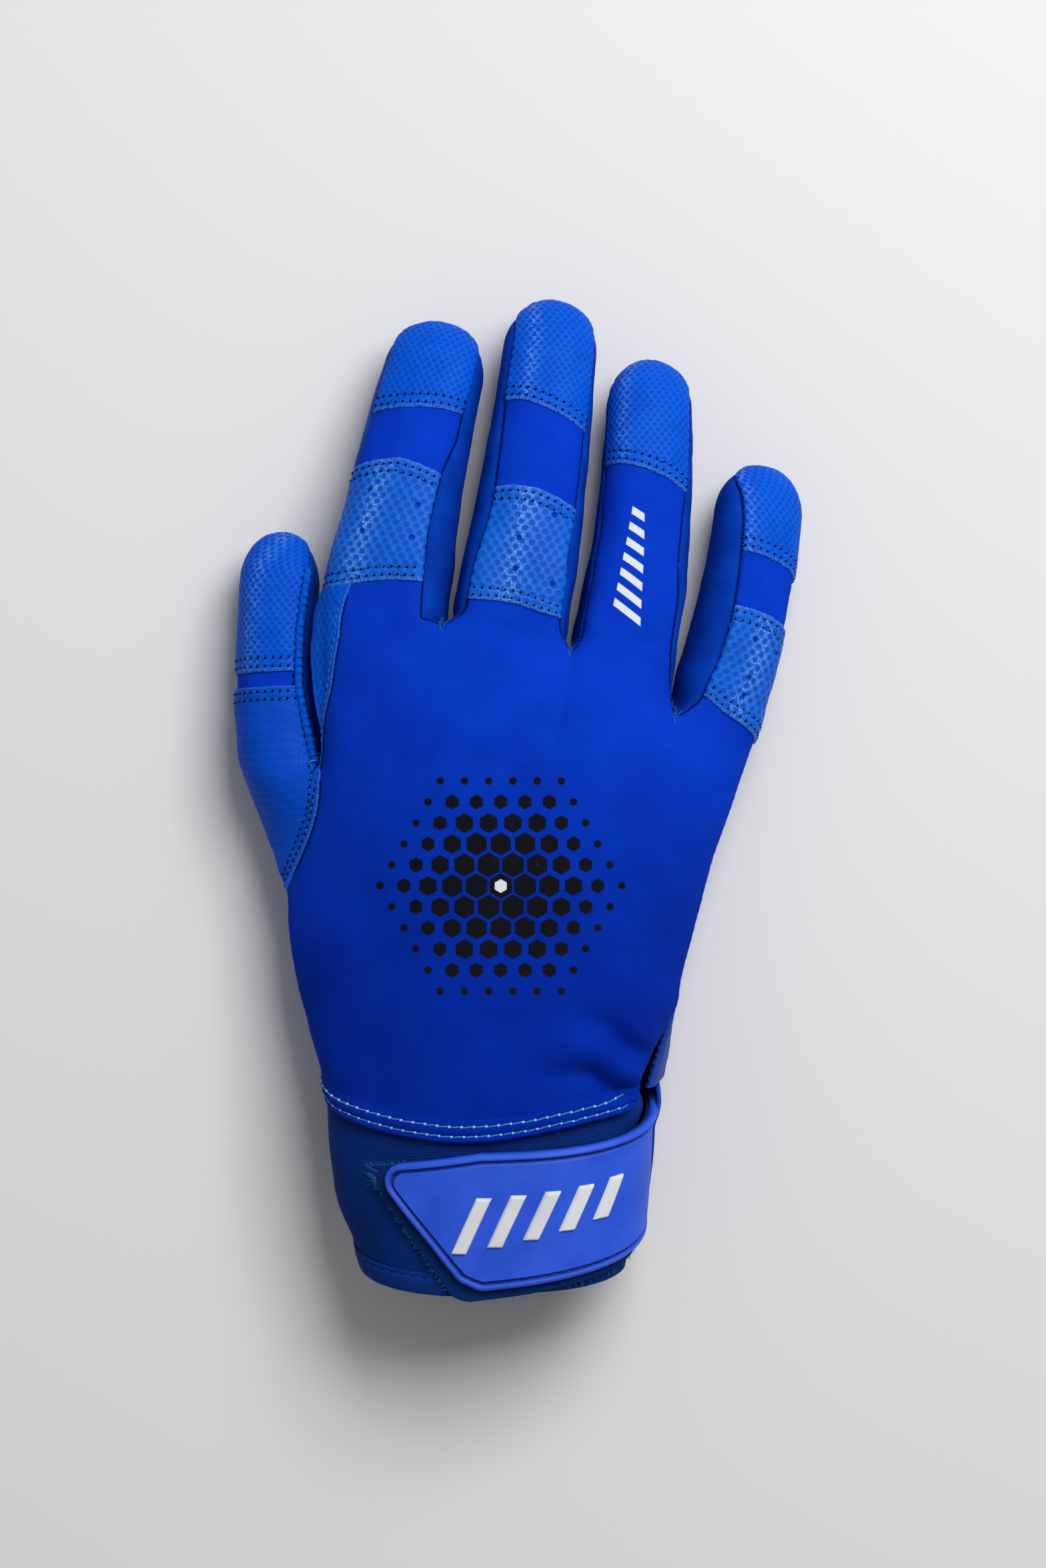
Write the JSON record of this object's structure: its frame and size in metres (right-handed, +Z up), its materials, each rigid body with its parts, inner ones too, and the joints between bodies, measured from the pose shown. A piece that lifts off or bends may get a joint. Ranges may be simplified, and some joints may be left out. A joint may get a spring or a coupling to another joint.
{
  "type": "batting glove",
  "caption": "Right-hand batting glove with a stretch back, leather palm and fingertips, knit cuff and hook-and-loop wrist strap with a moulded cover.",
  "frame": {"origin": "on the flat heel of the palm, on the middle line of the wrist", "axes": "+Y from the wrist to the fingertips, +X from the thumb side to the little-finger side, +Z up out of the back of the hand"},
  "size_m": [0.1278, 0.2242, 0.0437],
  "materials": {
    "back_jersey": "royal blue stretch jersey, fine knit",
    "glove_leather": "blue embossed synthetic leather, soft sheen",
    "side_stretch": "blue smooth tricot",
    "cuff_knit": "dark blue fine ribbed knit",
    "hook_and_loop": "blue hook and loop tape",
    "moulded_rubber": "satin moulded rubber, blue"
  },
  "bodies": {
    "hand": {"index_base_flex": "side_stretch", "middle_base_flex": "side_stretch", "ring_base_flex": "side_stretch", "little_base_flex": "side_stretch", "cuff_band": "cuff_knit", "cuff_loop_patch": "hook_and_loop", "cuff_rim_binding": "cuff_knit", "back_hem": "back_jersey", "back_panel": "back_jersey", "palm_panel": "glove_leather", "index_middle_crotch": "side_stretch", "middle_ring_crotch": "side_stretch", "ring_little_crotch": "side_stretch", "thumb_base_panel": "glove_leather", "thumb_base_gusset": "glove_leather"},
    "index_lower": {"index_back_strip": "back_jersey", "index_front_lower": "glove_leather", "index_outer_fourchette_lower": "side_stretch", "index_knuckle_flex": "back_jersey", "index_knuckle_band": "glove_leather"},
    "index_upper": {"index_tip_cap": "glove_leather", "index_front_upper": "glove_leather", "index_outer_fourchette_upper": "side_stretch"},
    "middle_lower": {"middle_back_strip": "back_jersey", "middle_front_lower": "glove_leather", "middle_outer_fourchette_lower": "side_stretch", "middle_thumb_fourchette_lower": "side_stretch", "middle_knuckle_flex": "back_jersey", "middle_knuckle_band": "glove_leather"},
    "middle_upper": {"middle_tip_cap": "glove_leather", "middle_front_upper": "glove_leather", "middle_outer_fourchette_upper": "side_stretch", "middle_thumb_fourchette_upper": "side_stretch"},
    "ring_lower": {"ring_back_strip": "back_jersey", "ring_front_lower": "glove_leather", "ring_outer_fourchette_lower": "side_stretch", "ring_thumb_fourchette_lower": "side_stretch", "ring_knuckle_flex": "back_jersey"},
    "ring_upper": {"ring_tip_cap": "glove_leather", "ring_front_upper": "glove_leather", "ring_outer_fourchette_upper": "side_stretch", "ring_thumb_fourchette_upper": "side_stretch"},
    "little_lower": {"little_back_strip": "back_jersey", "little_front_lower": "glove_leather", "little_thumb_fourchette_lower": "side_stretch", "little_knuckle_flex": "back_jersey", "little_knuckle_band": "glove_leather"},
    "little_upper": {"little_tip_cap": "glove_leather", "little_front_upper": "glove_leather", "little_thumb_fourchette_upper": "side_stretch"},
    "strap": {"strap_hook_tape": "hook_and_loop", "strap_moulded_cover": "moulded_rubber"},
    "thumb_lower": {"thumb_lower_back": "glove_leather", "thumb_lower_front": "glove_leather", "thumb_knuckle_flex": "back_jersey"},
    "thumb_upper": {"thumb_tip_cap": "glove_leather", "thumb_front_upper": "glove_leather"}
  },
  "joints": [
    {"name": "index_base", "type": "hinge", "parent": "hand", "child": "index_lower", "pos_m": [-0.02263, 0.09725, 0.02152], "axis": [-0.9914, 0.1311, 0], "range_deg": [-10, 50], "deforming": ["index_base_flex"]},
    {"name": "index_knuckle", "type": "hinge", "parent": "index_lower", "child": "index_upper", "pos_m": [-0.01692, 0.12956, 0.01668], "axis": [-0.9764, 0.2159, 0], "range_deg": [0, 60], "deforming": ["index_knuckle_flex"]},
    {"name": "middle_base", "type": "hinge", "parent": "hand", "child": "middle_lower", "pos_m": [0.00577, 0.09731, 0.02297], "axis": [-0.984, 0.178, 0], "range_deg": [-10, 50], "deforming": ["middle_base_flex"]},
    {"name": "middle_knuckle", "type": "hinge", "parent": "middle_lower", "child": "middle_upper", "pos_m": [0.01046, 0.12665, 0.01883], "axis": [-0.9905, 0.1378, 0], "range_deg": [0, 60], "deforming": ["middle_knuckle_flex"]},
    {"name": "ring_base", "type": "hinge", "parent": "hand", "child": "ring_lower", "pos_m": [0.03151, 0.09135, 0.02085], "axis": [-0.9844, 0.176, 0], "range_deg": [-10, 50], "deforming": ["ring_base_flex"]},
    {"name": "ring_knuckle", "type": "hinge", "parent": "ring_lower", "child": "ring_upper", "pos_m": [0.03477, 0.1153, 0.01773], "axis": [-0.9957, 0.093, 0], "range_deg": [0, 60], "deforming": ["ring_knuckle_flex"]},
    {"name": "little_base", "type": "hinge", "parent": "hand", "child": "little_lower", "pos_m": [0.05344, 0.0803, 0.01605], "axis": [-0.9566, 0.2915, 0], "range_deg": [-10, 50], "deforming": ["little_base_flex"]},
    {"name": "little_knuckle", "type": "hinge", "parent": "little_lower", "child": "little_upper", "pos_m": [0.05739, 0.09548, 0.01469], "axis": [-0.9775, 0.2109, 0], "range_deg": [0, 60], "deforming": ["little_knuckle_flex"]},
    {"name": "thumb_spread", "type": "hinge", "parent": "hand", "child": "thumb_lower", "pos_m": [-0.04286, 0.03868, 0.0126], "axis": [0, 0, 1], "range_deg": [0, 30], "deforming": ["thumb_base_panel", "thumb_base_gusset"]},
    {"name": "thumb_knuckle", "type": "hinge", "parent": "thumb_lower", "child": "thumb_upper", "pos_m": [-0.04803, 0.07695, 0.01179], "axis": [-0.9994, -0.0337, 0], "range_deg": [0, 50], "deforming": ["thumb_knuckle_flex"]},
    {"name": "strap_peel", "type": "hinge", "parent": "hand", "child": "strap", "pos_m": [0.03234, -0.03203, 0.00907], "axis": [0.064, 0.9978, 0.0189], "range_deg": [0, 105]}
  ]
}
